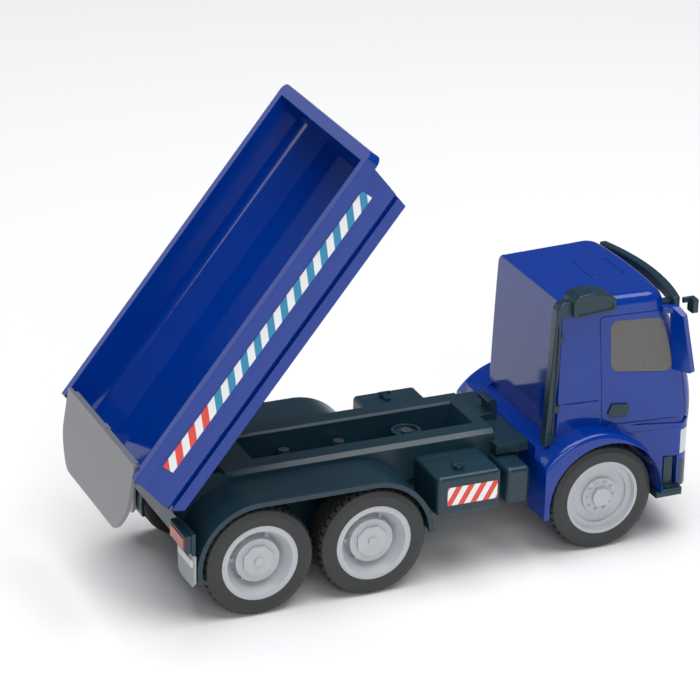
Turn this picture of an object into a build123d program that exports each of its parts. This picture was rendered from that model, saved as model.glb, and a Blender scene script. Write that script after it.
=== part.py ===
from build123d import *
from math import cos, radians, sin, tan
import os

# Toy dump truck, millimetres. +X points to the cab, +Y to the truck's left, +Z up.
# The origin is on the ground under the middle of the whole model. The bed is raised on its stop.

# ---- driving dimensions -------------------------------------------------------------------------
WALL = 2.2                     # general moulding thickness
FIT = 0.05                     # radial clearance of a turning shaft
GAP = 0.1                      # clearance between two fixed mouldings

REAR_AXLE_X = -96.4
MID_AXLE_X = -29.5
FRONT_AXLE_X = 113.2
WHEEL_Z = 31.8                 # wheel centre height, equal to the tyre radius
TYRE_R = 31.8
AXLE_R = 1.6
REAR_FACE_Y = 60.2             # outer plane of the rear rims
FRONT_FACE_Y = 54.6            # outer plane of the front rims
TYRE_WIDTH = 20.5
TREAD_LUGS = 40

RAIL_TOP_Z = 72.0
RAIL_HALF_Y = 28.3
TROUGH_HALF_Y = 14.5
TROUGH_REAR_X = -104.0
TROUGH_FRONT_X = 57.0
TROUGH_FLOOR_Z = 56.0
BEAM_HALF_Y = 24.0
BEAM_BOTTOM_Z = 26.0

HINGE_X = -131.2               # bed hinge, at the bottom rear corner of the bed
HINGE_Z = 71.1
HINGE_PIN_R = 2.0
LUG_R = 3.8
BED_TILT = 51.6                # tilt of the raised bed in degrees

BED_LENGTH = 206.7             # hinge to the front of the rim
BED_RIM_Z = 41.9               # rim top above the hinge, measured square to the bed
BED_RIM_HALF_Y = 60.0
BED_RIM_DEPTH = 7.2
BED_SKIRT_Z = 3.5
BED_FLOOR_Z = 7.4
BED_INNER_HALF_Y = 54.8
BED_CORNER_R = 12.0            # round at the foot of the side walls
BED_FACET_Y = (30.0, 41.5)     # shallow facet on each side of the floor
BED_FACET_RISE = 2.0
BED_FRONT_SLOPE = 0.2286       # run per rise of the leaning front wall
BED_FRONT_FOOT = 192.6         # where the front wall's plane crosses the hinge's height
SILL_HALF_Y = (18.5, 23.3)

GATE_LEAN = 8.7                # the flap hangs this far from vertical
GATE_HALF_Y = 54.0
GATE_HEIGHT = 43.5
GATE_THICK = 2.0
GATE_PIN_R = 1.3
GATE_PIN_U = -3.5              # flap pivot, along the bed and above the hinge
GATE_PIN_V = 39.5
GATE_PIN_AHEAD = 1.1           # pivot ahead of the middle of the flap's thickness
GATE_TOP = 5.6                 # flap's top edge above its pivot

CAB_REAR_X = 87.6
CAB_FRONT_X = 173.5
CAB_BASE_Z = 66.0
ROOF_Z = 148.3
LEDGE_REAR_X = 74.6
FENDER_HALF_Y = 59.5
ARCH_R = 35.6


# ---- planes and helpers -------------------------------------------------------------------------
TILT = radians(BED_TILT)
BED_ALONG = Vector(cos(TILT), 0, sin(TILT))
BED_UP = Vector(-sin(TILT), 0, cos(TILT))
HINGE = Vector(HINGE_X, 0, HINGE_Z)
BED_SIDE = Plane(origin=HINGE, x_dir=BED_ALONG, z_dir=(0, -1, 0))


def bed_section(u):
    """Plane square to the bed at u along it: local x is +Y, local y is up from the bed."""
    return Plane(origin=HINGE + BED_ALONG * u, x_dir=(0, 1, 0), z_dir=BED_ALONG)


def bed_level(v):
    """Plane parallel to the bed's floor, v above the hinge."""
    return Plane(origin=HINGE + BED_UP * v, x_dir=BED_ALONG, z_dir=BED_UP)


def right_side(y):
    """Plane at y on the truck's right side: local x is +X, local y is +Z, normal outwards."""
    return Plane.XZ.offset(y)


def keep(piece, name):
    """Label a finished piece and write it."""
    piece.part.label = name
    export_step(piece.part, f"parts/{name}.step")


def keep_pair(right, name):
    """Write the right-hand piece and its mirror image for the left side."""
    keep(right, name + "_right")
    with BuildPart() as left:
        mirror(right.part, about=Plane.XZ)
    keep(left, name + "_left")


def slab(x_range, y_range, z_range, mode=Mode.ADD):
    """Box between two corners, added to the current part."""
    size = [b - a for a, b in (x_range, y_range, z_range)]
    centre = tuple((a + b) / 2 for a, b in (x_range, y_range, z_range))
    with Locations(centre):
        Box(*size, mode=mode)


def biggest_solid(piece):
    """The largest solid of a piece, without offcuts that a cut has left inside the cab."""
    with BuildPart() as kept:
        add(piece.solids().sort_by(SortBy.VOLUME)[-1])
    return kept


# ---- chassis ------------------------------------------------------------------------------------
SCREW_POSTS = [(-55.0, -8.6), (-55.0, 8.6), (-22.0, -8.6), (-22.0, 8.6)]
POST_TOP_Z = 61.0
BOSS_X = 15.5
BOSS_R = 8.5
BOSS_TOP_Z = 66.5
SCREW_R = 1.3
DECK_Z = 65.6
FRAME_FRONT_X = 148.0
CHEEK_Y = (24.0, RAIL_HALF_Y)
CROSS_BAR_X = (-134.8, -132.6)
CROSS_BAR_Z = (42.0, 54.5)
PLATE_SCREW_X = (-110.0, -62.0, 30.0, 90.0, 136.0)


def make_chassis_frame():
    with BuildPart() as frame:
        # raised trough block with bevelled rails
        with BuildSketch(Plane.YZ.offset(TROUGH_REAR_X)):
            with BuildLine():
                Polyline(
                    (-RAIL_HALF_Y, 50), (RAIL_HALF_Y, 50), (RAIL_HALF_Y, RAIL_TOP_Z - 2),
                    (RAIL_HALF_Y - 3, RAIL_TOP_Z), (3 - RAIL_HALF_Y, RAIL_TOP_Z),
                    (-RAIL_HALF_Y, RAIL_TOP_Z - 2), close=True,
                )
            make_face()
        extrude(amount=TROUGH_FRONT_X - TROUGH_REAR_X)
        # open trough with sloping ends
        with BuildSketch(Plane.XZ):
            with BuildLine():
                Polyline(
                    (-84, RAIL_TOP_Z + 1), (-79, TROUGH_FLOOR_Z), (45, TROUGH_FLOOR_Z),
                    (50, RAIL_TOP_Z + 1), close=True,
                )
            make_face()
        extrude(amount=TROUGH_HALF_Y, both=True, mode=Mode.SUBTRACT)
        chamfer(
            frame.edges().filter_by(Axis.X).group_by(Axis.Z)[-1].sort_by(lambda e: abs(e.center().Y))[0:2],
            length=1.2,
        )
        # cavities inside the rails and below the floor
        cavity = (TROUGH_REAR_X + WALL, TROUGH_FRONT_X - WALL)
        for side in (-1, 1):
            rail = sorted((side * (TROUGH_HALF_Y + WALL), side * (RAIL_HALF_Y - WALL)))
            slab(cavity, rail, (49, RAIL_TOP_Z - WALL - 1.2), mode=Mode.SUBTRACT)
        slab(cavity, (-RAIL_HALF_Y + WALL, RAIL_HALF_Y - WALL), (49, TROUGH_FLOOR_Z - WALL),
             mode=Mode.SUBTRACT)
        # two long webs that carry the axles, and cross webs between them
        for side in (-1, 1):
            web = sorted((side * (BEAM_HALF_Y - 3), side * BEAM_HALF_Y))
            slab((-118, FRAME_FRONT_X), web, (BEAM_BOTTOM_Z, 56))
            slab((TROUGH_FRONT_X, FRAME_FRONT_X), web, (54, 63))
        for x in (-118, -72, 42, FRAME_FRONT_X - 3):
            slab((x, x + 3), (-BEAM_HALF_Y, BEAM_HALF_Y), (BEAM_BOTTOM_Z, 53))
        # deck in front of the trough and under the cab
        slab((TROUGH_FRONT_X - WALL, LEDGE_REAR_X - GAP), (-36, 36), (60, DECK_Z))
        slab((LEDGE_REAR_X - 1, FRAME_FRONT_X), (-BEAM_HALF_Y, BEAM_HALF_Y), (60, 63))
        # bearing bosses
        for x in (REAR_AXLE_X, MID_AXLE_X, FRONT_AXLE_X):
            with BuildSketch(Plane.XZ.offset(-30.5)):
                with Locations((x, WHEEL_Z)):
                    Circle(5.5)
            extrude(amount=61 / 2 - BEAM_HALF_Y + 3)
            with BuildSketch(Plane.XZ.offset(30.5)):
                with Locations((x, WHEEL_Z)):
                    Circle(5.5)
            extrude(amount=-(61 / 2 - BEAM_HALF_Y + 3))
        # hinge cheeks, deck and cross bar at the rear
        for side in (-1, 1):
            y0 = CHEEK_Y[0] if side < 0 else -CHEEK_Y[1]
            with BuildSketch(Plane.XZ.offset(y0)):
                with BuildLine():
                    Polyline(
                        (-98, 44), (-98, RAIL_TOP_Z - 2), (HINGE_X + 1, HINGE_Z + LUG_R - 0.4),
                        (HINGE_X - LUG_R + 0.4, HINGE_Z - 1), (CROSS_BAR_X[0], 54), (CROSS_BAR_X[0], 42), (-118, 42),
                        close=True,
                    )
                make_face()
                with Locations((HINGE_X, HINGE_Z)):
                    Circle(LUG_R)
            extrude(amount=CHEEK_Y[1] - CHEEK_Y[0])
        slab((-128, TROUGH_REAR_X + 1), (-CHEEK_Y[0] - 1, CHEEK_Y[0] + 1), (56, 59))
        slab(CROSS_BAR_X, (-58, 58), CROSS_BAR_Z)
        # screw posts and the round boss in the trough
        with Locations(*[(x, y, (TROUGH_FLOOR_Z + POST_TOP_Z) / 2) for x, y in SCREW_POSTS]):
            Cylinder(3.8, POST_TOP_Z - TROUGH_FLOOR_Z)
        with Locations((BOSS_X, 0, (TROUGH_FLOOR_Z + BOSS_TOP_Z) / 2)):
            Cylinder(BOSS_R, BOSS_TOP_Z - TROUGH_FLOOR_Z)
        with Locations((BOSS_X, 0, BOSS_TOP_Z - 0.75)):
            Cylinder(BOSS_R - 1.8, 1.5, mode=Mode.SUBTRACT)
        # holes: screws, axles, hinge pin
        with Locations(*[(x, y, POST_TOP_Z - 3.5) for x, y in SCREW_POSTS]):
            Cylinder(SCREW_R + 0.02, 7.1, mode=Mode.SUBTRACT)
        with Locations((BOSS_X, 0, BOSS_TOP_Z - 5)):
            Cylinder(SCREW_R + 0.02, 7.2, mode=Mode.SUBTRACT)
        for x in (REAR_AXLE_X, MID_AXLE_X, FRONT_AXLE_X):
            with BuildSketch(Plane.XZ):
                with Locations((x, WHEEL_Z)):
                    Circle(AXLE_R + FIT)
            extrude(amount=40, both=True, mode=Mode.SUBTRACT)
        with BuildSketch(Plane.XZ):
            with Locations((HINGE_X, HINGE_Z)):
                Circle(HINGE_PIN_R + 0.02)
        extrude(amount=40, both=True, mode=Mode.SUBTRACT)
    return frame


def make_underside_plate():
    with BuildPart() as plate:
        slab((-118, FRAME_FRONT_X), (-BEAM_HALF_Y, BEAM_HALF_Y), (BEAM_BOTTOM_Z - 2.6, BEAM_BOTTOM_Z - GAP))
        fillet(plate.edges().filter_by(Axis.Z), radius=3)
        chamfer(plate.faces().sort_by(Axis.Z)[0].edges(), length=0.8)
        with Locations(*[(x, 0, BEAM_BOTTOM_Z - 1.4) for x in PLATE_SCREW_X]):
            Cylinder(SCREW_R + 0.02, 4, mode=Mode.SUBTRACT)
        with Locations(*[(x, 0, BEAM_BOTTOM_Z - 2.6) for x in PLATE_SCREW_X]):
            Cylinder(2.7, 2.8, mode=Mode.SUBTRACT)
    return plate


def make_chassis_screws():
    """Pan-head screws: four in the trough's posts, one in the round boss, five under the plate."""
    with BuildPart() as screws:
        spots = [(x, y, POST_TOP_Z) for x, y in SCREW_POSTS]
        spots.append((BOSS_X, 0, BOSS_TOP_Z - 1.5))
        for spot in spots:
            with Locations(Plane(spot)):
                with Locations((0, 0, 0.7)):
                    Cylinder(3.0, 1.4)
                with Locations((0, 0, -3)):
                    Cylinder(SCREW_R, 6)
                with Locations((0, 0, 1.2)):
                    Box(3.6, 0.8, 0.8, mode=Mode.SUBTRACT)
                    Box(0.8, 3.6, 0.8, mode=Mode.SUBTRACT)
        base = BEAM_BOTTOM_Z - 2.6
        for x in PLATE_SCREW_X:
            with Locations((x, 0, base + 0.8)):
                Cylinder(2.6, 1.2)
            with Locations((x, 0, base + 2.4)):
                Cylinder(SCREW_R, 2.4)
            with Locations((x, 0, base + 0.3)):
                Box(3.2, 0.8, 0.8, mode=Mode.SUBTRACT)
                Box(0.8, 3.2, 0.8, mode=Mode.SUBTRACT)
    return screws


def make_mudguard():
    """One sweeping guard over both rear wheels, with a deeper lip along its outer edge."""
    guard_r = 36.0

    def guard_face(inner_r):
        """Band between the guard's outer line and inner_r, over the two axles."""
        with BuildSketch() as band:
            for radius, mode in ((guard_r, Mode.ADD), (inner_r, Mode.SUBTRACT)):
                with Locations((REAR_AXLE_X, WHEEL_Z), (MID_AXLE_X, WHEEL_Z)):
                    Circle(radius, mode=mode)
                middle = (REAR_AXLE_X + MID_AXLE_X) / 2
                with Locations((middle, WHEEL_Z + radius / 2)):
                    Rectangle(MID_AXLE_X - REAR_AXLE_X, radius, mode=mode)
            with Locations((middle + 50, WHEEL_Z - 50 + 0.5)):
                Rectangle(100, 100, mode=Mode.SUBTRACT)
            with Locations((middle - 50, WHEEL_Z - 50 - 7)):
                Rectangle(100, 100, mode=Mode.SUBTRACT)
            with Locations((middle, WHEEL_Z - 20)):
                Rectangle(MID_AXLE_X - REAR_AXLE_X, 40, mode=Mode.SUBTRACT)
        return band.sketch

    with BuildPart() as guard:
        with BuildSketch(right_side(RAIL_HALF_Y + GAP)):
            add(guard_face(guard_r - 1.8))
        extrude(amount=REAR_FACE_Y - RAIL_HALF_Y)
        with BuildSketch(right_side(REAR_FACE_Y + GAP)):
            add(guard_face(guard_r - 2.9))
        extrude(amount=-1.8)
    return guard


LIGHT_X = -138.4
BOX_X = (8.2, 47.0)
BOX_Z = (40.0, 63.6)
TANK_X = (53.6, 68.4)
TANK_Z = (36.5, 58.5)
CAP_SPOT = (24.5, 51.0)


def make_storage_box():
    with BuildPart() as box:
        slab(BOX_X, (-60.0, -RAIL_HALF_Y - GAP), BOX_Z)
        outer = box.faces().sort_by(Axis.Y)[0]
        fillet(box.edges().filter_by(Axis.Y) + outer.edges(), radius=2.6)
        slab((BOX_X[0] + WALL, BOX_X[1] - WALL), (-60.0 + WALL, -RAIL_HALF_Y - WALL),
             (BOX_Z[0] - 1, BOX_Z[1] - WALL), mode=Mode.SUBTRACT)
        # shallow lid line on top
        slab((BOX_X[0] + 1, BOX_X[1] - 1), (-34.5, -33.9), (BOX_Z[1] - 0.4, BOX_Z[1] + 1), mode=Mode.SUBTRACT)
    return box


def make_tank():
    with BuildPart() as tank:
        slab(TANK_X, (-53.0, -RAIL_HALF_Y - GAP), TANK_Z)
        outer = tank.faces().sort_by(Axis.Y)[0]
        fillet(tank.edges().filter_by(Axis.Y) + outer.edges(), radius=3)
        slab((TANK_X[0] + WALL, TANK_X[1] - WALL), (-53.0 + WALL, -RAIL_HALF_Y - WALL),
             (TANK_Z[0] - 1, TANK_Z[1] - WALL), mode=Mode.SUBTRACT)
    return tank


def make_filler_caps():
    """Small cap with a cross bar on top of each storage box."""
    with BuildPart() as caps:
        for side in (-1, 1):
            x, y = CAP_SPOT[0], side * CAP_SPOT[1]
            with Locations((x, y, BOX_Z[1] + 1.1)):
                Cylinder(2.6, 2.2)
            with Locations((x, y, BOX_Z[1] + 2.6)):
                Box(7.5, 1.6, 1.4)
            with Locations((x, y - side * 4.2, BOX_Z[1] + 0.9)):
                Box(3.2, 3.4, 1.8)
    return caps


def make_box_label():
    with BuildPart() as label:
        slab((14.2, 44.4), (-60.25, -60.0), (46.4, 57.2))
    return label


def make_bed_catch():
    """Hooked bracket on the deck, just ahead of the lowered bed's front wall."""
    with BuildPart() as catch:
        with BuildSketch(right_side(-10.5)):
            with BuildLine():
                Polyline((58.8, DECK_Z), (70.6, DECK_Z), (70.6, 73.6))
                ThreePointArc((70.6, 73.6), (69.6, 76.6), (66.8, 77.8))
                Polyline((66.8, 77.8), (64.2, 77.2), (64.4, 75.0), (66.6, 74.8), (67.2, 69.6), (58.8, 68.6))
                Line((58.8, 68.6), (58.8, DECK_Z))
            make_face()
        extrude(amount=13)
        for k in range(3):
            slab((65.4, 71), (-0.6 + 3.4 * k, 0.4 + 3.4 * k), (76.3, 79), mode=Mode.SUBTRACT)
    return catch


FLAP_X = -134.6


def make_light_housing():
    with BuildPart() as housing:
        slab((LIGHT_X, CROSS_BAR_X[0] - GAP), (-57.5, -33.5), (43.2, 53.6))
        fillet(housing.faces().sort_by(Axis.X)[0].edges(), radius=1.2)
        slab((LIGHT_X - 1, LIGHT_X + 0.8), (-55.6, -35.4), (45.0, 51.8), mode=Mode.SUBTRACT)
    return housing


def make_light_lens():
    with BuildPart() as lens:
        slab((LIGHT_X - 0.6, LIGHT_X + 0.8), (-55.5, -35.5), (45.1, 51.7))
        fillet(lens.faces().sort_by(Axis.X)[0].edges(), radius=0.5)
    return lens


def make_mud_flap():
    with BuildPart() as flap:
        with BuildSketch(Plane.YZ.offset(FLAP_X)):
            with BuildLine():
                Polyline((-60, 41.9), (-36, 41.9), (-36, 26), (-39, 23), (-57, 23), (-60, 26), close=True)
            make_face()
        extrude(amount=1.6)
    return flap


def make_number_plate():
    """Blank strip across the right flap."""
    with BuildPart() as plate:
        slab((FLAP_X - 0.8, FLAP_X), (-59.0, -38.0), (35.4, 39.6))
    return plate


def make_hinge_pin():
    with BuildPart() as pin:
        with BuildSketch(Plane.XZ):
            with Locations((HINGE_X, HINGE_Z)):
                Circle(HINGE_PIN_R)
        extrude(amount=RAIL_HALF_Y + 0.8, both=True)
        chamfer(pin.edges(), length=0.4)
    return pin


# ---- bed ----------------------------------------------------------------------------------------
def front_wall_u(v, inset=0.0):
    """Where the leaning front wall is at height v."""
    return BED_FRONT_FOOT + BED_FRONT_SLOPE * v - inset


def gate_inner_u(v):
    """Where the closed flap's inner face is at height v, with a small clearance in front of it."""
    middle = GATE_PIN_U - GATE_PIN_AHEAD - (GATE_PIN_V - v) * tan(radians(GATE_LEAN))
    return middle + GATE_THICK / 2 + 0.6


def trough_face(grow):
    """Inner section of the bed, grown outwards by grow: flat floor, shallow facets, rounds and walls."""
    top = BED_RIM_Z + 10
    left = [(-BED_INNER_HALF_Y, top), (-BED_INNER_HALF_Y, BED_FLOOR_Z + 12),
            (-BED_FACET_Y[1], BED_FLOOR_Z + BED_FACET_RISE), (-BED_FACET_Y[0], BED_FLOOR_Z)]
    right = [(-y, v) for y, v in reversed(left)]
    with BuildSketch() as face:
        with BuildLine():
            Polyline(*left, *right, close=True)
        make_face()
        fillet(face.vertices().filter_by(lambda p: abs(p.Y - BED_FLOOR_Z - 12) < 0.01), radius=BED_CORNER_R)
        if grow:
            offset(amount=grow)
    return face.sketch


def make_bed_shell():
    rim_low = BED_RIM_Z - BED_RIM_DEPTH
    with BuildPart() as pocket:
        with BuildSketch(bed_section(-20)):
            add(trough_face(0))
        extrude(amount=BED_LENGTH + 30)
        with BuildSketch(BED_SIDE):
            with BuildLine():
                Polyline(
                    (-20, -1), (front_wall_u(-1, WALL), -1), (front_wall_u(60, WALL), 60), (-20, 60),
                    close=True,
                )
            make_face()
        extrude(amount=70, both=True, mode=Mode.INTERSECT)
    with BuildPart() as under:
        with BuildSketch(bed_section(gate_inner_u(0) + WALL)):
            with Locations((0, 10)):
                Rectangle(2 * 52.6, 22)
            add(trough_face(WALL), mode=Mode.SUBTRACT)
        extrude(amount=front_wall_u(0, WALL) - gate_inner_u(0) - WALL)
    with BuildPart() as bed:
        # outer section: rim band, side panel, crease, undercut and bottom flange
        right_edge = [
            (55.5, BED_SKIRT_Z), (55.5, 10.3), (53.4, 10.3), (57.0, 13.9), (58.0, 20.4), (58.0, rim_low),
            (BED_RIM_HALF_Y, rim_low), (BED_RIM_HALF_Y, BED_RIM_Z),
        ]
        left_edge = [(-y, v) for y, v in reversed(right_edge)]
        with BuildSketch(bed_section(-12)):
            with BuildLine():
                Polyline(*right_edge, *left_edge, close=True)
            make_face()
        extrude(amount=BED_LENGTH + 12)
        # side outline: overhanging rim, leaning front wall, slanted rear edge
        with BuildSketch(BED_SIDE):
            with BuildLine():
                Polyline(
                    (BED_LENGTH, BED_RIM_Z), (BED_LENGTH, rim_low), (front_wall_u(rim_low), rim_low),
                    (front_wall_u(BED_SKIRT_Z), BED_SKIRT_Z), (-6.2, BED_SKIRT_Z), (-10.2, 10.3),
                    (-9.6, 17.5), (-6.4, rim_low), (-5.4, BED_RIM_Z), close=True,
                )
            make_face()
        extrude(amount=70, both=True, mode=Mode.INTERSECT)
        fillet(
            bed.edges().filter_by(lambda e: abs(e.length - BED_RIM_DEPTH) < 0.01
                                  and abs((e.center() - HINGE).dot(BED_ALONG) - BED_LENGTH) < 0.01),
            radius=5,
        )
        add(pocket.part, mode=Mode.SUBTRACT)
        # rear opening for the flap, between the two side walls
        with BuildSketch(BED_SIDE):
            with BuildLine():
                Polyline((-20, -5), (gate_inner_u(-5), -5), (gate_inner_u(60), 60), (-20, 60), close=True)
            make_face()
        extrude(amount=BED_INNER_HALF_Y, both=True, mode=Mode.SUBTRACT)
        add(under.part, mode=Mode.SUBTRACT)
        # two sills below the floor, with the hinge lugs at their rear ends
        for side in (-1, 1):
            y0 = SILL_HALF_Y[0] if side < 0 else -SILL_HALF_Y[1]
            with BuildSketch(BED_SIDE.offset(y0)):
                with BuildLine():
                    Polyline((0, 1.3), (186, 1.3), (189, 6.4), (-1.0, 6.4), close=True)
                make_face()
                Circle(LUG_R)
            extrude(amount=SILL_HALF_Y[1] - SILL_HALF_Y[0])
        with BuildSketch(BED_SIDE):
            Circle(HINGE_PIN_R + FIT)
        extrude(amount=40, both=True, mode=Mode.SUBTRACT)
        # blind holes for the flap's pins
        with BuildSketch(BED_SIDE):
            with Locations((GATE_PIN_U, GATE_PIN_V)):
                Circle(GATE_PIN_R + FIT)
        extrude(amount=BED_INNER_HALF_Y + 3, both=True, mode=Mode.SUBTRACT)
    return bed


def make_bed_label():
    """Long striped label on the bed's right side panel."""
    with BuildPart() as label:
        with BuildSketch(BED_SIDE.offset(58.0)):
            with BuildLine():
                Polyline((8.5, 25.0), (187.2, 25.0), (187.2, 32.3), (8.5, 32.3), close=True)
            make_face()
        extrude(amount=0.25)
    return label


# ---- tailgate -----------------------------------------------------------------------------------
def make_tailgate():
    """Flap that hangs from two stub pins on small ears at its upper corners."""
    pivot = HINGE + BED_ALONG * GATE_PIN_U + BED_UP * GATE_PIN_V
    lean = radians(GATE_LEAN)
    up = Vector(sin(lean), 0, cos(lean))
    back = Vector(-cos(lean), 0, sin(lean))
    panel = Plane(origin=pivot + back * (GATE_PIN_AHEAD + GATE_THICK / 2), x_dir=(0, -1, 0), z_dir=back)
    top = GATE_TOP
    with BuildPart() as gate:
        with BuildSketch(panel):
            with BuildLine():
                Polyline((-GATE_HALF_Y, top - 19), (-GATE_HALF_Y, top), (GATE_HALF_Y, top),
                         (GATE_HALF_Y, top - 19))
                Spline((GATE_HALF_Y, top - 19), (46, top - 37), (34, top - GATE_HEIGHT),
                       tangents=((0, -1), (-1, 0)))
                Line((34, top - GATE_HEIGHT), (-34, top - GATE_HEIGHT))
                Spline((-34, top - GATE_HEIGHT), (-46, top - 37), (-GATE_HALF_Y, top - 19),
                       tangents=((-1, 0), (0, 1)))
            make_face()
        extrude(amount=-GATE_THICK)
        fillet(gate.faces().sort_by(Axis.X)[0].edges(), radius=0.5)
        # stiffening lip along the top edge, with a pull tab in its middle
        with BuildSketch(panel.offset(-GATE_THICK)):
            with Locations((0, top - 1.2)):
                Rectangle(98, 1.4)
        extrude(amount=-2.4)
        with BuildSketch(panel.offset(-GATE_THICK)):
            with Locations((0, top - 1.2)):
                Rectangle(7, 2.4)
        extrude(amount=-3)
        # ears and pins
        for side in (-1, 1):
            ear = Plane(origin=pivot + Vector(0, side * 50.5, 0), x_dir=up, z_dir=(0, side, 0))
            with BuildSketch(ear):
                Circle(GATE_PIN_AHEAD + GATE_THICK / 2)
            extrude(amount=GATE_HALF_Y - 50.5)
            with BuildSketch(ear):
                Circle(GATE_PIN_R)
            extrude(amount=BED_INNER_HALF_Y + 2.6 - 50.5)
    return gate


# ---- cab ----------------------------------------------------------------------------------------
# level: height, rear x, half width at the rear, front x, half width at the front
CAB_LEVELS = [
    (CAB_BASE_Z, 87.6, 43.8, 170.8, 50.6),
    (98.0, 88.1, 42.8, 168.6, 49.4),
    (124.0, 88.6, 41.8, 160.0, 47.2),
    (ROOF_Z, 89.2, 40.6, 149.6, 44.4),
]
CAB_CORNER_R = 10.0
ROOF_ROUND = 6.0
FRONT_BULGE = 3.2
PANE_DEPTH = 1.0
SEAM = 0.5                     # depth of the moulded lines
WINDOW_CORNERS = [(118.4, 134.6), (150.6, 133.4), (158.0, 100.2), (119.4, 104.4)]
SCREEN_Z = (99.0, 137.5)
SCREEN_HALF_Y = 41.0
HANDLE_CORNERS = [(118.0, 79.4), (120.4, 84.9), (129.8, 84.2), (131.6, 80.6), (128.6, 76.7), (119.6, 77.2)]


def cab_outline(rear_x, rear_half, front_x, front_half, inset):
    """Plan outline of the cab: flat back, sides that widen forwards, crowned front."""
    x0 = rear_x + inset
    x1 = front_x - inset
    y0 = rear_half - inset
    y1 = front_half - inset
    with BuildSketch() as outline:
        with BuildLine():
            Polyline((x1, y1), (x0, y0), (x0, -y0), (x1, -y1))
            ThreePointArc((x1, -y1), (x1 + FRONT_BULGE, 0), (x1, y1))
        make_face()
        fillet(outline.vertices().group_by(Axis.X)[-1], radius=CAB_CORNER_R - inset / 2)
    return outline.sketch


def cab_body(inset):
    """Solid cab body; a positive inset shrinks it to make the inside, a negative one grows it."""
    with BuildPart() as body:
        for z, rear_x, rear_half, front_x, front_half in CAB_LEVELS:
            drop = inset if z in (CAB_BASE_Z, ROOF_Z) else 0
            with BuildSketch(Plane.XY.offset(z - drop)):
                add(cab_outline(rear_x, rear_half, front_x, front_half, inset))
        loft()
        fillet(body.faces().sort_by(Axis.Z)[-1].edges().sort_by(Axis.X)[1:], radius=ROOF_ROUND - inset / 2)
        fillet(body.faces().sort_by(Axis.X)[0].edges().sort_by(Axis.Z)[1:], radius=1.2)
    return body


def rounded(corners, radius, grow=0.0):
    """Closed outline through corners, rounded, then grown by grow."""
    with BuildSketch() as face:
        with BuildLine():
            Polyline(*corners, close=True)
        make_face()
        fillet(face.vertices(), radius=radius)
        if grow:
            offset(amount=grow, mode=Mode.REPLACE)
    return face.sketch


def side_patch(outer, inner, face, reach):
    """Skin between two bodies under an outline that is seen from the side."""
    with BuildPart() as patch:
        add(outer.part)
        add(inner.part, mode=Mode.SUBTRACT)
        with BuildSketch(Plane.XZ):
            add(face)
        extrude(amount=70, both=reach == "both", mode=Mode.INTERSECT)
    return patch


def screen_patch(outer, inner, grow):
    """Skin between two bodies over the windscreen's outline."""
    corners = [
        (-SCREEN_HALF_Y, SCREEN_Z[0]), (SCREEN_HALF_Y, SCREEN_Z[0]),
        (SCREEN_HALF_Y - 2.5, SCREEN_Z[1]), (2.5 - SCREEN_HALF_Y, SCREEN_Z[1]),
    ]
    with BuildPart() as patch:
        add(outer.part)
        add(inner.part, mode=Mode.SUBTRACT)
        with BuildSketch(Plane.YZ.offset(140)):
            add(rounded(corners, 4, grow))
        extrude(amount=60, mode=Mode.INTERSECT)
    return patch


def door_seams():
    """Strips that follow the door's edges and the short moulded lines, seen from the side."""
    with BuildSketch() as strips:
        with BuildLine():
            Polyline((114.6, 72.0), (111.8, 138.0), (149.0, 138.0), (163.5, 97.0), (166.6, 72.0), close=True)
        make_face()
        fillet(strips.vertices(), radius=3)
        offset(amount=-0.6, mode=Mode.SUBTRACT)
        with Locations((102, 88)):
            Rectangle(21, 0.6)
    return strips.sketch


def wedge_groove():
    """Tapered groove that opens towards the front corner, just above the cab's base."""
    with BuildSketch() as wedge:
        with BuildLine():
            Polyline((132, 70.4), (165.5, 67.8), (168.5, 70.2), (165.5, 72.4), close=True)
        make_face()
    return wedge.sketch


def make_cab_shell(outer, pane):
    inner = cab_body(WALL)
    shallow = cab_body(SEAM)
    window = rounded(WINDOW_CORNERS, 5)
    with BuildPart() as shell:
        add(outer.part)
        add(inner.part, mode=Mode.SUBTRACT)
        add(side_patch(outer, pane, window, "both").part, mode=Mode.SUBTRACT)
        add(side_patch(outer, shallow, door_seams(), "both").part, mode=Mode.SUBTRACT)
        add(side_patch(outer, pane, wedge_groove(), "both").part, mode=Mode.SUBTRACT)
        add(screen_patch(outer, pane, 0).part, mode=Mode.SUBTRACT)
        # roof hatch line
        with BuildSketch(Plane.XY.offset(ROOF_Z)):
            with Locations((132, 0)):
                RectangleRounded(21, 28, 3)
                RectangleRounded(19.6, 26.6, 2.4, mode=Mode.SUBTRACT)
        extrude(amount=-SEAM, mode=Mode.SUBTRACT)
    return shell


def make_side_window(outer, pane):
    return side_patch(outer, pane, rounded(WINDOW_CORNERS, 5, -GAP), "right")


def make_windscreen(outer, pane):
    return screen_patch(outer, pane, -GAP)


def make_door_handle(outer):
    raised = cab_body(-1.2)
    return side_patch(raised, outer, rounded(HANDLE_CORNERS, 1.0), "right")


LAMP_Y = (33.0, 52.0)
LAMP_Z = (48.5, 63.5)
GRILLE_HALF_Y = 29.0
GRILLE_Z = (46.5, 63.0)
BUMPER_X = 164.0
BUMPER_Z = (28.0, 44.0)


def nose(inset, z_range, x_min, y_range):
    """Block with the nose's plan outline between two heights, ahead of x_min."""
    with BuildPart() as block:
        with BuildSketch(Plane.XY.offset(z_range[0])):
            add(cab_outline(LEDGE_REAR_X + 6, 42.4, 170.8, 50.6, inset))
            with Locations((x_min + 50, (y_range[0] + y_range[1]) / 2)):
                Rectangle(100, y_range[1] - y_range[0], mode=Mode.INTERSECT)
        extrude(amount=z_range[1] - z_range[0])
    return block


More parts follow.
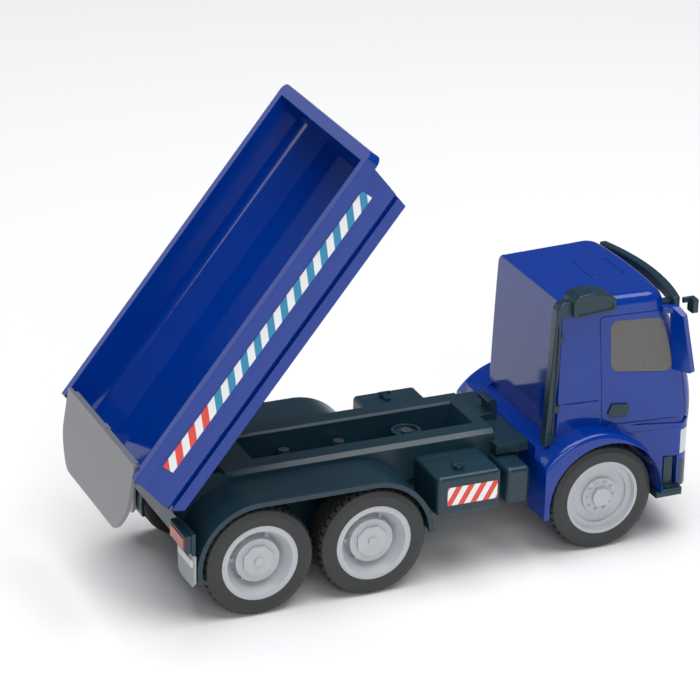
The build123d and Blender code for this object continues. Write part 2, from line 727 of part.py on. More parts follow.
def nose_band(depth, z_range, x_min, y_range, gap=0.0):
    """Skin of the nose, depth thick, drawn in by gap on its edges."""
    z_range = (z_range[0] + gap, z_range[1] - gap)
    y_range = (y_range[0] + gap, y_range[1] - gap)
    with BuildPart() as band:
        add(nose(0, z_range, x_min + gap, y_range).part)
        add(nose(depth - gap, z_range, x_min - 1, (-60, 60)).part, mode=Mode.SUBTRACT)
    return band


def base_inside():
    """Hollow of the cab base; the front wheel wells stay standing inside it."""
    with BuildPart() as inside:
        add(nose(5.5, (20, 63.2), LEDGE_REAR_X + WALL, (-60, 60)).part)
        for side in (-1, 1):
            with BuildSketch(Plane.XZ.offset(-side * 60)):
                with Locations((FRONT_AXLE_X, WHEEL_Z)):
                    Circle(ARCH_R + 1.8)
            extrude(amount=side * (60 - 28.6), mode=Mode.SUBTRACT)
    return inside


def fender_pair():
    """Solid fenders over the front wheels, before the wheel wells are cut."""
    with BuildPart() as fenders:
        for side in (-1, 1):
            with BuildSketch(Plane.XZ.offset(-side * FENDER_HALF_Y)):
                with BuildLine():
                    crown = ThreePointArc((LEDGE_REAR_X, 58.2), (107, 73.8), (138, 59.5))
                    TangentArc((138, 59.5), (150.4, 30.0), tangent=crown % 1)
                    Polyline((150.4, 30.0), (120, 30), (90, 26), (LEDGE_REAR_X, 26), (LEDGE_REAR_X, 58.2))
                make_face()
            extrude(amount=side * (FENDER_HALF_Y - 38))
        fillet(
            fenders.edges().filter_by(GeomType.CIRCLE).filter_by(lambda e: abs(e.center().Y) > FENDER_HALF_Y - 1),
            radius=3.2,
        )
    return fenders


def make_cab_base(outer, fenders):
    with BuildPart() as base:
        add(nose(0, (30, CAB_BASE_Z - GAP), LEDGE_REAR_X + 1, (-60, 60)).part)
        add(fenders.part)
        # ledge behind the cab
        slab((LEDGE_REAR_X, 90), (-45, 45), (46, CAB_BASE_Z - GAP))
        add(outer.part, mode=Mode.SUBTRACT)
        add(base_inside().part, mode=Mode.SUBTRACT)
        # wheel wells, with slots for the bearing bosses
        for side in (-1, 1):
            with BuildSketch(Plane.XZ.offset(-side * 60)):
                with Locations((FRONT_AXLE_X, WHEEL_Z)):
                    Circle(ARCH_R)
            extrude(amount=side * (60 - 30.4), mode=Mode.SUBTRACT)
        with BuildSketch(Plane.XZ):
            with Locations((FRONT_AXLE_X, WHEEL_Z)):
                Circle(6.2)
            with Locations((FRONT_AXLE_X, WHEEL_Z - 10)):
                Rectangle(12.4, 20)
        extrude(amount=31, both=True, mode=Mode.SUBTRACT)
        # opening for the chassis beams
        slab((LEDGE_REAR_X - 1, 92), (-BEAM_HALF_Y - 0.5, BEAM_HALF_Y + 0.5), (20, 63.2), mode=Mode.SUBTRACT)
        # seats for the lamps, grille, bumper and steps
        add(nose_band(1.5, LAMP_Z, BUMPER_X, LAMP_Y).part, mode=Mode.SUBTRACT)
        add(nose_band(1.5, LAMP_Z, BUMPER_X, (-LAMP_Y[1], -LAMP_Y[0])).part, mode=Mode.SUBTRACT)
        add(nose_band(1.5, GRILLE_Z, BUMPER_X, (-GRILLE_HALF_Y, GRILLE_HALF_Y)).part, mode=Mode.SUBTRACT)
        add(nose_band(3.2, BUMPER_Z, BUMPER_X, (-60, 60)).part, mode=Mode.SUBTRACT)
        for side in (-1, 1):
            slab((154, 162.5), sorted((side * 44, side * 60)), (28, 48), mode=Mode.SUBTRACT)
    return base


def make_headlight():
    return nose_band(1.5, LAMP_Z, BUMPER_X, (-LAMP_Y[1], -LAMP_Y[0]), GAP)


def make_grille():
    with BuildPart() as grille:
        add(nose_band(1.5, GRILLE_Z, BUMPER_X, (-GRILLE_HALF_Y, GRILLE_HALF_Y), GAP).part)
        for k in range(4):
            z = GRILLE_Z[0] + 2.4 + 3.4 * k
            slab((CAB_FRONT_X - 1.2, CAB_FRONT_X + 5), (-26, 26), (z, z + 1.5), mode=Mode.SUBTRACT)
    return grille


def make_front_bumper():
    with BuildPart() as bumper:
        add(nose_band(3.2, BUMPER_Z, BUMPER_X, (-60, 60), GAP).part)
        slab((CAB_FRONT_X - 0.8, CAB_FRONT_X + 5), (-20, 20), (31.5, 39.5), mode=Mode.SUBTRACT)
    return bumper


def make_step():
    """Dark step box below the door: an upright panel and a tread plate."""
    with BuildPart() as step:
        slab((147.5, 163.9), (-55.8, -44.0), (25.5, 30 - GAP))
        fillet(step.faces().sort_by(Axis.Y)[0].edges(), radius=1.2)
        slab((154 + GAP, 159.5), (-50.0, -44.5), (29.5, 48 - GAP))
        for k in range(4):
            slab((149.5 + 3.4 * k, 151.3 + 3.4 * k), (-54.6, -51.0), (29.4, 31), mode=Mode.SUBTRACT)
    return step


VISOR_HALF_Y = 45.5
VISOR_Z = (138.2, 144.0)


def make_sun_visor():
    """Curved blade ahead of the roof's front edge, carried by an arm and a hanging leg at each end."""
    grown = cab_body(-0.1)
    with BuildPart() as visor:
        with BuildSketch(Plane.XY.offset(VISOR_Z[0])):
            with BuildLine():
                ThreePointArc((160.6, -VISOR_HALF_Y), (167.2, 0), (160.6, VISOR_HALF_Y))
                Line((160.6, VISOR_HALF_Y), (155.8, VISOR_HALF_Y))
                ThreePointArc((155.8, VISOR_HALF_Y), (162.0, 0), (155.8, -VISOR_HALF_Y))
                Line((155.8, -VISOR_HALF_Y), (160.6, -VISOR_HALF_Y))
            make_face()
        extrude(amount=VISOR_Z[1] - VISOR_Z[0])
        fillet(visor.edges().filter_by(Axis.Z), radius=1.4)
        fillet(visor.faces().sort_by(Axis.Z)[-1].edges(), radius=0.9)
        for side in (-1, 1):
            slab((158.2, 160.6), sorted((side * 42.2, side * 44.8)), (134.2, 142))
            slab((146, 160), sorted((side * 36.4, side * 42.4)), (VISOR_Z[0] + 0.4, VISOR_Z[0] + 2.6))
        add(grown.part, mode=Mode.SUBTRACT)
    return biggest_solid(visor)


def make_side_mirror():
    """Tall mirror blade that stands out and forwards from the door pillar, wider at its foot."""
    grown = cab_body(-0.3)
    with BuildPart() as blade:
        for z, inner_x, outer_x, outer_y in ((101.6, 156.4, 163.4, -58.2), (141.0, 152.6, 156.4, -56.0)):
            with BuildSketch(Plane.XY.offset(z)):
                with BuildLine():
                    Polyline((inner_x, -48.2), (outer_x, outer_y), (outer_x + 3.2, outer_y + 1.4),
                             (inner_x + 4.6, -47.4), close=True)
                make_face()
        loft()
        with BuildSketch(Plane.YZ.offset(140)):
            with BuildLine():
                Polyline((-60, 135), (-55.5, 136.4), (-50, 140.2), (-46, 142), (-60, 142), close=True)
            make_face()
        extrude(amount=40, mode=Mode.SUBTRACT)
        fillet(blade.edges().sort_by(Axis.Y)[0:1], radius=1.0)
        # arm from above the door's front corner
        with BuildSketch(Plane.XY.offset(136.6)):
            with BuildLine():
                Polyline((148.6, -42), (154.0, -42), (155.4, -47.0), (156.4, -49.6), (153.4, -50.0), (149.4, -47.2),
                         close=True)
            make_face()
        extrude(amount=3.2)
        add(grown.part, mode=Mode.SUBTRACT)
    return biggest_solid(blade)


def make_front_mirror():
    """Small dark mirror that stands on an arm at the visor's right end."""
    with BuildPart() as arm:
        slab((161.7, 168.4), (-48.0, -45.6), (140.6, 144.0))
        slab((165.2, 168.4), (-52.6, -45.6), (135.6, 144.0))
        fillet(arm.edges().filter_by(Axis.X), radius=1)
    return arm


STACK_Y = (-47.4, -41.6)


def make_intake_stack(outer, fenders):
    """Air intake: tapered riser behind the cab, elbow and a box over the roof's edge, with wall ties."""
    with BuildPart() as stack:
        with BuildSketch(right_side(-STACK_Y[1])):
            with BuildLine():
                Polyline((79.0, CAB_BASE_Z), (84.6, CAB_BASE_Z), (84.8, 96), (86.2, 112), (86.2, 142.4),
                         (94, 143.4), (94, 151), (88.6, 151.4))
                ThreePointArc((88.6, 151.4), (84.6, 149.8), (83.0, 145.4))
                Line((83.0, 145.4), (79.0, CAB_BASE_Z))
            make_face()
        extrude(amount=STACK_Y[1] - STACK_Y[0])
        fillet(stack.edges().filter_by(lambda e: abs(e.center().Y - STACK_Y[0]) < 0.01 and e.length > 8), radius=0.8)
        # recessed channel down the outer face
        with BuildSketch(right_side(-STACK_Y[0])):
            with BuildLine():
                Polyline((80.8, 72), (83.2, 72), (84.6, 112), (84.8, 138), (84.2, 138), close=True)
            make_face()
        extrude(amount=-0.9, mode=Mode.SUBTRACT)
        for z in (84, 126.5):
            slab((84, 89), (STACK_Y[1] - 3, STACK_Y[1] + 1), (z, z + 4))
        with BuildSketch(right_side(37.6)):
            with BuildLine():
                Polyline((92.0, 142.0), (91.6, 152.4), (95.5, 155.4), (104, 156.0), (113, 154.2), (118.0, 150.6),
                         (118.8, 143.6), close=True)
            make_face()
            fillet(vertices(), radius=1.8)
        extrude(amount=12.8)
        fillet(stack.faces().sort_by(Axis.Y)[0].edges(), radius=0.9)
        with BuildSketch(right_side(50.4)):
            with BuildLine():
                Polyline((94.4, 143.6), (94.2, 150.2), (98, 152.2), (112, 151.2), (116.0, 148.6), (116.6, 145.2),
                         close=True)
            make_face()
            fillet(vertices(), radius=1)
        extrude(amount=-0.8, mode=Mode.SUBTRACT)
        add(outer.part, mode=Mode.SUBTRACT)
        add(fenders.part, mode=Mode.SUBTRACT)
    return biggest_solid(stack)


# ---- wheels -------------------------------------------------------------------------------------
def revolved(x, outline, sign=-1):
    """Ring or disc about the axle at x; outline points are (radius, distance from the centre plane)."""
    points = [(r, sign * h) for r, h in outline]
    with BuildPart() as ring:
        with BuildSketch(Plane((x, 0, WHEEL_Z))):
            with BuildLine():
                Polyline(*points, close=True)
            make_face()
        revolve(axis=Axis((x, 0, WHEEL_Z), (0, 1, 0)))
    return ring


def rim_face_plane(x, h):
    """Plane across a right-hand wheel at distance h from the centre plane, facing outwards."""
    return Plane(origin=(x, -h, WHEEL_Z), x_dir=(1, 0, 0), z_dir=(0, -1, 0))


def make_rear_rim(x):
    h = REAR_FACE_Y
    outline = [
        (0, h - 3.7), (12.7, h - 3.7), (12.7, h - 8.8), (13.4, h - 9.8), (18.1, h - 1.6), (18.9, h), (22.1, h),
        (22.1, h - 1.4), (21.0, h - 1.4), (21.0, h - 18.6), (19.4, h - 18.6), (19.4, h - 3.2),
        (14.0, h - 11.8), (11.0, h - 11.8), (11.0, h - 5.9), (4.0, h - 5.9), (4.0, 32), (AXLE_R + 0.02, 32),
        (AXLE_R + 0.02, h - 6.2), (0, h - 6.2),
    ]
    with BuildPart() as rim:
        add(revolved(x, outline).part)
        with BuildSketch(rim_face_plane(x, h - 3.7)):
            RegularPolygon(radius=9.2, side_count=8, rotation=22.5)
        extrude(amount=1.6)
        with BuildSketch(rim_face_plane(x, h - 2.1)):
            Circle(2.4)
        extrude(amount=1.2)
        with BuildSketch(rim_face_plane(x, h - 9.8)):
            with PolarLocations(14.6, 6):
                Rectangle(4.6, 2.4)
        extrude(amount=1.8)
    return rim


def make_front_rim(x):
    h = FRONT_FACE_Y
    outline = [
        (0, h - 2.6), (10.8, h - 2.6), (10.8, h - 4.6), (16.5, h - 4.6), (16.5, h - 3.1), (19.7, h - 3.1),
        (20.4, h), (22.1, h), (22.1, h - 1.4), (21.0, h - 1.4), (21.0, h - 18.6), (19.4, h - 18.6),
        (19.4, h - 4.7), (17.0, h - 6.2), (4.0, h - 6.2), (4.0, 32), (AXLE_R + 0.02, 32),
        (AXLE_R + 0.02, h - 4.4), (0, h - 4.4),
    ]
    with BuildPart() as rim:
        add(revolved(x, outline).part)
        with BuildSketch(rim_face_plane(x, h - 2.6)):
            Circle(5.4)
        extrude(amount=2.4)
        with BuildSketch(rim_face_plane(x, h - 2.6)):
            with PolarLocations(8.3, 10):
                Circle(0.95)
        extrude(amount=1.1)
    return rim


def make_tyre(x, face_y):
    """Solid tyre with a rounded shoulder and short tread slots along both shoulders."""
    outer = face_y + 0.3
    inner = outer - TYRE_WIDTH - 0.5
    outline = [
        (21.05, outer - 1.7), (22.15, outer - 1.7), (22.15, outer), (27.6, outer), (30.4, outer - 0.9),
        (TYRE_R, outer - 3.4), (TYRE_R, inner + 3.4), (30.4, inner + 0.9), (27.6, inner), (21.05, inner),
    ]
    with BuildPart() as tyre:
        add(revolved(x, outline).part)
        for h in (outer - 3.3, inner + 3.3):
            with Locations(Plane(origin=(x, -h, WHEEL_Z), x_dir=(1, 0, 0), z_dir=(0, -1, 0))):
                with PolarLocations(TYRE_R, TREAD_LUGS):
                    Box(2.0, 1.5, 5.4, mode=Mode.SUBTRACT)
    return tyre


def make_axle(x, reach):
    with BuildPart() as axle:
        with BuildSketch(Plane.XZ):
            with Locations((x, WHEEL_Z)):
                Circle(AXLE_R)
        extrude(amount=reach, both=True)
        chamfer(axle.edges(), length=0.3)
    return axle


# ---- write every piece --------------------------------------------------------------------------
def main():
    os.makedirs("parts", exist_ok=True)
    outer = cab_body(0)
    pane = cab_body(PANE_DEPTH)
    fenders = fender_pair()

    keep(make_chassis_frame(), "chassis_frame")
    keep(make_underside_plate(), "underside_plate")
    keep(make_chassis_screws(), "chassis_screws")
    keep(make_filler_caps(), "box_caps")
    keep(make_bed_catch(), "bed_catch")
    keep(make_number_plate(), "number_plate")
    keep(make_hinge_pin(), "bed_hinge_pin")
    keep_pair(make_mudguard(), "rear_mudguard")
    keep_pair(make_storage_box(), "storage_box")
    keep_pair(make_box_label(), "box_label")
    keep_pair(make_tank(), "front_tank")
    keep_pair(make_light_housing(), "light_housing")
    keep_pair(make_light_lens(), "light_lens")
    keep_pair(make_mud_flap(), "mud_flap")

    keep(make_bed_shell(), "bed_shell")
    keep_pair(make_bed_label(), "bed_label")
    keep(make_tailgate(), "tailgate")

    keep(make_cab_base(outer, fenders), "cab_base")
    keep(make_cab_shell(outer, pane), "cab_shell")
    keep(make_windscreen(outer, pane), "windscreen")
    keep(make_grille(), "grille")
    keep(make_front_bumper(), "front_bumper")
    keep(make_sun_visor(), "sun_visor")
    keep(make_front_mirror(), "front_mirror")
    keep(make_intake_stack(outer, fenders), "intake_stack")
    keep_pair(make_side_window(outer, pane), "side_window")
    keep_pair(make_door_handle(outer), "door_handle")
    keep_pair(make_headlight(), "headlight")
    keep_pair(make_step(), "step")
    keep_pair(make_side_mirror(), "side_mirror")

    for name, x in (("rear", REAR_AXLE_X), ("middle", MID_AXLE_X)):
        keep(make_axle(x, REAR_FACE_Y - 6.6), name + "_axle")
        keep_pair(make_rear_rim(x), name + "_rim")
        keep_pair(make_tyre(x, REAR_FACE_Y), name + "_tyre")
    keep(make_axle(FRONT_AXLE_X, FRONT_FACE_Y - 4.8), "front_axle")
    keep_pair(make_front_rim(FRONT_AXLE_X), "front_rim")
    keep_pair(make_tyre(FRONT_AXLE_X, FRONT_FACE_Y), "front_tyre")


main()
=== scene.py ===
# %% [markdown]
# # A toy dump truck with a raised bed
# The truck's shape comes from the CAD model, already in metres and in its own frame: +X to the cab's front,
# +Y to the truck's left, +Z up, with the ground at zero. This lesson gives every moulding its plastic,
# prints the warning stripes, and lights the result like a table-top studio shot.

# %% Load the frame
from math import cos, radians, sin

import bpy
from mathutils import Matrix, Vector


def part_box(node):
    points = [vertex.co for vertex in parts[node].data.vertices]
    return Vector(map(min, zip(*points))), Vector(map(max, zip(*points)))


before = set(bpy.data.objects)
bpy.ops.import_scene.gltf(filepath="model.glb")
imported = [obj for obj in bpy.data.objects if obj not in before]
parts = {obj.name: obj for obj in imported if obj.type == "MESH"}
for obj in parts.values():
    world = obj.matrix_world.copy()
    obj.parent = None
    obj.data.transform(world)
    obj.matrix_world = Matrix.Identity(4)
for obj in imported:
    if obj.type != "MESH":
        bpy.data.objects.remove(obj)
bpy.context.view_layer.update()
print("pieces in the frame:", len(parts))

# %% [markdown]
# ## Colours
# A plastics maker quotes colours as sRGB hex values, but a shader wants linear light, so one function turns
# one into the other. Keeping the hex values in the script makes them easy to compare with a colour chart.

# %% Hex to linear light
def linear(hex_value, alpha=1.0):
    channels = [int(hex_value[i:i + 2], 16) / 255 for i in (1, 3, 5)]
    light = [c / 12.92 if c <= 0.04045 else ((c + 0.055) / 1.055) ** 2.4 for c in channels]
    return (*light, alpha)

print("mid blue in linear light:", [round(c, 3) for c in linear("#00319A")])

# %% [markdown]
# ## One helper for nodes
# Every material here is a small network. A single helper adds a node, fills in its settings and joins its
# inputs, so that each network reads from top to bottom like a recipe.

# %% Add a node with its settings and links
def add(tree, kind, settings=None, **inputs):
    node = tree.nodes.new(kind)
    for name, value in (settings or {}).items():
        setattr(node, name, value)
    for name, value in inputs.items():
        key = int(name[1:]) if name[0] == "i" and name[1:].isdigit() else name.replace("_", " ")
        socket = node.inputs[key]
        if isinstance(value, bpy.types.NodeSocket):
            tree.links.new(value, socket)
        else:
            socket.default_value = value
    return node

MM = 0.001
PATCH_MM = 28          # size of the patches that handling leaves in the gloss
WAVE_DEPTH_MM = 0.1    # height of the mould's slow waves
GRAIN_DEPTH_MM = 0.05  # height of its grain

# %% [markdown]
# ## Moulded plastic
# Nearly every piece is injection-moulded: ABS for the blue shells, polypropylene for the chassis, soft PVC
# for the tyres. A moulding has three things that the eye reads as plastic. Its edges are never sharp, so a
# bevel in the shading rounds them by a few tenths of a millimetre. Its surface copies the steel mould: a
# polished mould leaves faint slow waves, an etched one leaves a fine grain. And handling leaves the gloss
# slightly uneven. One recipe with different sizes and strengths makes them all.

# %% The recipe for a moulding
def moulding(name, colour, roughness, ior, wave_mm, wave, grain_mm, grain, edge_mm, second=None,
             gloss_patch=0.04):
    material = bpy.data.materials.new(name)
    material.use_nodes = True
    tree = material.node_tree
    shader = tree.nodes["Principled BSDF"]
    place = add(tree, "ShaderNodeTexCoord")
    waves = add(tree, "ShaderNodeTexNoise", Vector=place.outputs["Object"],
                Scale=1 / (wave_mm * MM), Detail=1.0)
    grains = add(tree, "ShaderNodeTexNoise", Vector=place.outputs["Object"],
                 Scale=1 / (grain_mm * MM), Detail=3.0)
    rounded = add(tree, "ShaderNodeBevel", {"samples": 6}, Radius=edge_mm * MM)
    slow = add(tree, "ShaderNodeBump", Height=waves.outputs["Fac"], Normal=rounded.outputs["Normal"],
               Strength=wave, Distance=WAVE_DEPTH_MM * MM)
    fine = add(tree, "ShaderNodeBump", Height=grains.outputs["Fac"], Normal=slow.outputs["Normal"],
               Strength=grain, Distance=GRAIN_DEPTH_MM * MM)
    patches = add(tree, "ShaderNodeTexNoise", Vector=place.outputs["Object"],
                  Scale=1 / (PATCH_MM * MM), Detail=4.0)
    gloss = add(tree, "ShaderNodeMapRange", Value=patches.outputs["Fac"], From_Min=0.3, From_Max=0.7,
                To_Min=roughness - gloss_patch, To_Max=roughness + gloss_patch)
    tone = add(tree, "ShaderNodeMix", {"data_type": "RGBA"}, i0=patches.outputs["Fac"], i6=linear(colour),
               i7=linear(second or colour))
    tree.links.new(tone.outputs[2], shader.inputs["Base Color"])
    tree.links.new(gloss.outputs["Result"], shader.inputs["Roughness"])
    tree.links.new(fine.outputs["Normal"], shader.inputs["Normal"])
    shader.inputs["IOR"].default_value = ior
    return material

def finish_nodes(material, *names):
    """Give whole CAD pieces one finish."""
    for name in names:
        for slot in parts[name].material_slots:
            slot.material = material
    print(material.name, "->", len(names), "pieces")

def pair(*names):
    return [name + side for name in names for side in ("_left", "_right")]

# %% [markdown]
# ## Blue ABS
# The bed, the cab and the mirrors are ABS from a polished mould: a saturated blue with a hard, clean gloss.
# ABS has an IOR near 1.53. The roughness is low, and the waves are wide and shallow, which bends
# reflections a little without breaking them up.

# %% Blue shells
blue_abs = moulding(
    "blue ABS, polished mould", colour="#003292", roughness=0.09, ior=1.53, wave_mm=9, wave=0.10,
    grain_mm=0.6, grain=0.02, edge_mm=0.5, second="#00389A", gloss_patch=0.03,
)
finish_nodes(blue_abs, "bed_shell", "cab_shell", "cab_base", *pair("side_mirror"))

# %% [markdown]
# ## Slate polypropylene
# The chassis, mudguards, boxes and trim are a dark slate-green polypropylene. Its mould is lightly etched,
# so highlights spread and the surface shows a fine even grain. Real grain is about 0.2 mm; it is drawn at
# 0.5 mm so that it still shows at the size of the whole truck.

# %% Slate mouldings
slate_pp = moulding(
    "slate polypropylene, etched mould", colour="#17323F", roughness=0.32, ior=1.49, wave_mm=12,
    wave=0.10, grain_mm=0.5, grain=0.10, edge_mm=0.45, second="#1C3946",
)
finish_nodes(
    slate_pp, "chassis_frame", "underside_plate", "box_caps", "bed_catch", "intake_stack", "sun_visor",
    "front_mirror", "grille", "front_bumper",
    *pair("rear_mudguard", "storage_box", "front_tank", "light_housing", "door_handle", "step"),
)

# %% [markdown]
# ## Grey flap
# The tailgate is a thin flat sheet of plastic with a clean gloss, so it mirrors the pale floor and looks
# lighter than its own colour. Its colour is drawn mid-grey, lighter than the dark plastic itself: the grey
# is painted reflection of the pale floor.

# %% Tailgate
# The mid-grey base colour is painted reflection of the pale floor, not the plastic's own dark colour.
tailgate_painted_reflection = moulding(
    "polystyrene, smooth mould, painted floor reflection in grey", colour="#76777B", roughness=0.20, ior=1.55, wave_mm=14,
    wave=0.10, grain_mm=0.5, grain=0.04, edge_mm=0.4,
)
finish_nodes(tailgate_painted_reflection, "tailgate")

# %% [markdown]
# ## Tyres
# The tyres are blow-moulded soft PVC, charcoal and satin. Their grain is coarser than the chassis's, and
# handling polishes it in patches.

# %% Charcoal PVC
tyre_pvc = moulding(
    "charcoal PVC, soft satin", colour="#2A2C2C", roughness=0.46, ior=1.52, wave_mm=6, wave=0.12,
    grain_mm=0.7, grain=0.22, edge_mm=0.6, second="#303232", gloss_patch=0.07,
)
finish_nodes(tyre_pvc, *pair("front_tyre", "middle_tyre", "rear_tyre"))

# %% [markdown]
# ## Wheel rims
# The rims are moulded in polypropylene with a light silver-grey pigment. The roughness stays in the middle
# for a soft sheen, and the colour varies a little from place to place.

# %% Silver-grey rims
rim_pp = moulding(
    "silver-grey polypropylene", colour="#BABCC1", roughness=0.33, ior=1.50, wave_mm=8, wave=0.10,
    grain_mm=0.4, grain=0.08, edge_mm=0.35, second="#C6C8CD",
)
finish_nodes(rim_pp, *pair("front_rim", "middle_rim", "rear_rim"))

# %% [markdown]
# ## Windows, flaps and plates
# The windows are not clear: each is a flat grey insert with a satin surface. The mud flaps are a pale soft
# plastic, and the plate on the right flap is blank white film.

# %% Window inserts, flaps and the blank plate
window_pvc = moulding(
    "grey window insert, satin", colour="#64625F", roughness=0.28, ior=1.50, wave_mm=14, wave=0.06,
    grain_mm=0.4, grain=0.04, edge_mm=0.3,
)
finish_nodes(window_pvc, "windscreen", *pair("side_window"))
flap_pvc = moulding(
    "pale grey PVC flap", colour="#A8ACAC", roughness=0.45, ior=1.50, wave_mm=8, wave=0.10,
    grain_mm=0.5, grain=0.10, edge_mm=0.3,
)
finish_nodes(flap_pvc, *pair("mud_flap"))
plate_film = moulding(
    "white vinyl film", colour="#E4E6E6", roughness=0.30, ior=1.50, wave_mm=10, wave=0.05,
    grain_mm=0.4, grain=0.02, edge_mm=0.15,
)
finish_nodes(plate_film, "number_plate")

# %% [markdown]
# ## Lenses
# The rear lights are red polystyrene and the headlights are pale. Both are drawn opaque, with the high IOR
# of polystyrene, 1.59, for a hard bright gloss.

# %% Lenses
red_lens = moulding(
    "red tinted polystyrene lens", colour="#C25A48", roughness=0.12, ior=1.59, wave_mm=4,
    wave=0.06, grain_mm=0.5, grain=0.01, edge_mm=0.3,
)
finish_nodes(red_lens, *pair("light_lens"))
pale_lens = moulding(
    "pale polystyrene lens", colour="#D5DAE2", roughness=0.10, ior=1.59, wave_mm=3, wave=0.20,
    grain_mm=0.5, grain=0.01, edge_mm=0.3,
)
finish_nodes(pale_lens, *pair("headlight"))

# %% [markdown]
# ## Plated steel
# The axles, the hinge pin and the screws are zinc-plated steel: metallic, fairly rough, and slightly uneven
# where the plating is thin.

# %% Zinc plate
def zinc_plate():
    material = bpy.data.materials.new("zinc-plated steel")
    material.use_nodes = True
    tree = material.node_tree
    shader = tree.nodes["Principled BSDF"]
    place = add(tree, "ShaderNodeTexCoord")
    cloud = add(tree, "ShaderNodeTexNoise", Vector=place.outputs["Object"], Scale=1 / (1.5 * MM), Detail=3.0)
    rough = add(tree, "ShaderNodeMapRange", Value=cloud.outputs["Fac"], To_Min=0.25, To_Max=0.5)
    tree.links.new(rough.outputs["Result"], shader.inputs["Roughness"])
    shader.inputs["Base Color"].default_value = linear("#9A9CA0")
    shader.inputs["Metallic"].default_value = 1.0
    return material

finish_nodes(zinc_plate(), "chassis_screws", "bed_hinge_pin", "front_axle", "middle_axle", "rear_axle")

# %% [markdown]
# ## Striped film
# The warning labels are printed vinyl film with slanted stripes. The stripes could be an image, but two
# measurements describe them completely: how far apart they are, and how far each one leans. A straight ramp
# across the label, folded every stripe, gives the pattern from the label's own place on the truck.

# %% Striped vinyl film
def striped_film(name, origin, along, across, spacing_mm, lean, start_mm, ink, rear_ink=None,
                 change_mm=0):
    """Slanted stripes of ink on white. start_mm is where a stripe begins on the lower edge."""
    material = bpy.data.materials.new(name)
    material.use_nodes = True
    tree = material.node_tree
    shader = tree.nodes["Principled BSDF"]
    place = add(tree, "ShaderNodeTexCoord")
    local = add(tree, "ShaderNodeVectorMath", {"operation": "SUBTRACT"}, i0=place.outputs["Object"],
                i1=origin)
    ramp_way = Vector(along) - Vector(across) * lean
    ramp = add(tree, "ShaderNodeVectorMath", {"operation": "DOT_PRODUCT"}, i0=local.outputs[0],
               i1=ramp_way)
    shifted = add(tree, "ShaderNodeMath", {"operation": "SUBTRACT"}, i0=ramp.outputs["Value"],
                  i1=start_mm * MM)
    turns = add(tree, "ShaderNodeMath", {"operation": "DIVIDE"}, i0=shifted.outputs[0],
                i1=spacing_mm * MM)
    fold = add(tree, "ShaderNodeMath", {"operation": "WRAP"}, i0=turns.outputs[0], i1=1.0, i2=0.0)
    printed = add(tree, "ShaderNodeMath", {"operation": "LESS_THAN"}, i0=fold.outputs[0], i1=0.5)
    inks = add(tree, "ShaderNodeMix", {"data_type": "RGBA"}, i6=linear(ink), i7=linear(rear_ink or ink))
    if rear_ink:
        rear = add(tree, "ShaderNodeMath", {"operation": "LESS_THAN"}, i0=ramp.outputs["Value"],
                   i1=change_mm * MM)
        tree.links.new(rear.outputs[0], inks.inputs[0])
    film = add(tree, "ShaderNodeMix", {"data_type": "RGBA"}, i0=printed.outputs[0], i6=linear("#F4F6F6"),
               i7=inks.outputs[2])
    paper = add(tree, "ShaderNodeTexNoise", Vector=place.outputs["Object"], Scale=1 / (0.6 * MM), Detail=2.0)
    relief = add(tree, "ShaderNodeBump", Height=paper.outputs["Fac"], Strength=0.05, Distance=0.02 * MM)
    tree.links.new(film.outputs[2], shader.inputs["Base Color"])
    tree.links.new(relief.outputs["Normal"], shader.inputs["Normal"])
    shader.inputs["Roughness"].default_value = 0.35
    return material

# %% [markdown]
# The long label lies along the bed, which is raised about its rear hinge. The hinge's place and the bed's
# tilt turn the truck's frame into the bed's own directions: along the floor, and square to it.

# %% Long labels on the bed
TILT = radians(51.6)
HINGE = (-131.2 * MM, 0, 71.1 * MM)
BED_ALONG = (cos(TILT), 0, sin(TILT))
BED_UP = (-sin(TILT), 0, cos(TILT))
bed_film = striped_film("teal and red striped vinyl", HINGE, BED_ALONG, BED_UP, 11.8, 0.95, 12.5 - 0.95 * 25,
                        "#2A8DB8", "#EB4A3C", 44.8 - 0.95 * 25)
finish_nodes(bed_film, *pair("bed_label"))

# %% Short labels on the storage boxes
low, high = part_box("box_label_right")
corner = (low[0], 0, low[2])
box_film = striped_film("red striped vinyl", corner, (1, 0, 0), (0, 0, 1), 7.5, 0.58, -1.3, "#EB4A3C")
finish_nodes(box_film, *pair("box_label"))

# %% [markdown]
# ## Floor and backdrop
# The truck stands on a sheet of white paper that runs out of sight on every side. A plain large plane is
# enough: its edge is never seen.

# %% Paper floor
def paper_floor(half_size):
    mesh = bpy.data.meshes.new("floor")
    corners = [(-half_size, -half_size, 0), (half_size, -half_size, 0), (half_size, half_size, 0),
               (-half_size, half_size, 0)]
    mesh.from_pydata(corners, [], [(0, 1, 2, 3)])
    floor = bpy.data.objects.new("floor", mesh)
    bpy.context.collection.objects.link(floor)
    paper = bpy.data.materials.new("white paper")
    paper.use_nodes = True
    shader = paper.node_tree.nodes["Principled BSDF"]
    shader.inputs["Base Color"].default_value = linear("#FFFFFF")
    shader.inputs["Roughness"].default_value = 0.9
    shader.inputs["Specular IOR Level"].default_value = 0.1
    mesh.materials.append(paper)
    return floor

floor = paper_floor(6.0)
print("floor", floor.dimensions[:])

# %% [markdown]
# ## Lights
# Soft light from large panels keeps the shadows faint and gives the glossy blue broad, calm reflections.
# The main panel hangs over the truck and a second one stands by the viewer's side. A third, low behind the
# left side, gives the bed's rim a quiet sheen.

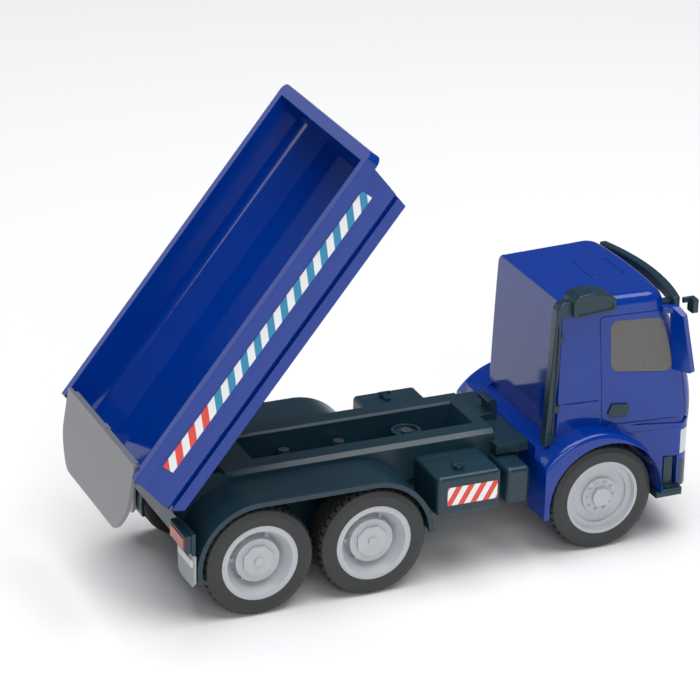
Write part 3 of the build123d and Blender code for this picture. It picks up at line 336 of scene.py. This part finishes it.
# %% Softboxes
def softbox(name, place, aim, size, power):
    panel = bpy.data.lights.new(name, "AREA")
    panel.shape = "RECTANGLE"
    panel.size, panel.size_y = size
    panel.energy = power
    lamp = bpy.data.objects.new(name, panel)
    lamp.location = place
    lamp.rotation_euler = (Vector(aim) - Vector(place)).to_track_quat("-Z", "Y").to_euler()
    bpy.context.collection.objects.link(lamp)
    return lamp

middle = Vector((0, 0, 0.1))
softbox("overhead", (0.2, -0.2, 2.6), middle, (2.6, 2.6), 78)
softbox("viewer side", (-0.6, -2.6, 1.5), middle, (2.0, 1.4), 22)
softbox("low behind", (-1.3, 2.4, 0.85), middle, (1.8, 0.9), 4)
sky = bpy.data.worlds.new("studio")
sky.use_nodes = True
sky.node_tree.nodes["Background"].inputs["Color"].default_value = (0.88, 0.92, 1.0, 1.0)
sky.node_tree.nodes["Background"].inputs["Strength"].default_value = 0.12
bpy.context.scene.world = sky

# %% [markdown]
# ## Camera
# The truck is seen from behind its right side and a little above, from far enough away for its lines to
# stay nearly parallel. A long lens keeps the proportions calm. The camera's three directions are worked out
# from its turn, its height and a slight roll.

# %% Camera
def camera_at(place, azimuth, elevation, roll, lens):
    back = Vector((sin(azimuth) * cos(elevation), -cos(azimuth) * cos(elevation), sin(elevation)))
    level = Vector((0, 0, 1)).cross(back).normalized()
    upward = back.cross(level)
    right = cos(roll) * level + sin(roll) * upward
    top = cos(roll) * upward - sin(roll) * level
    camera = bpy.data.objects.new("camera", bpy.data.cameras.new("camera"))
    camera.matrix_world = Matrix((
        (right.x, top.x, back.x, place[0]),
        (right.y, top.y, back.y, place[1]),
        (right.z, top.z, back.z, place[2]),
        (0, 0, 0, 1),
    ))
    camera.data.lens = lens
    camera.data.sensor_width = 36
    camera.data.clip_end = 30
    bpy.context.collection.objects.link(camera)
    return camera

camera = camera_at((-0.6937, -1.5410, 0.8524), radians(-23.62), radians(23.51), radians(1.18), 170.97)
bpy.context.scene.camera = camera
bpy.context.scene.view_settings.view_transform = "Standard"
print("camera looks along", [round(-c, 3) for c in camera.matrix_world.col[2][:3]])
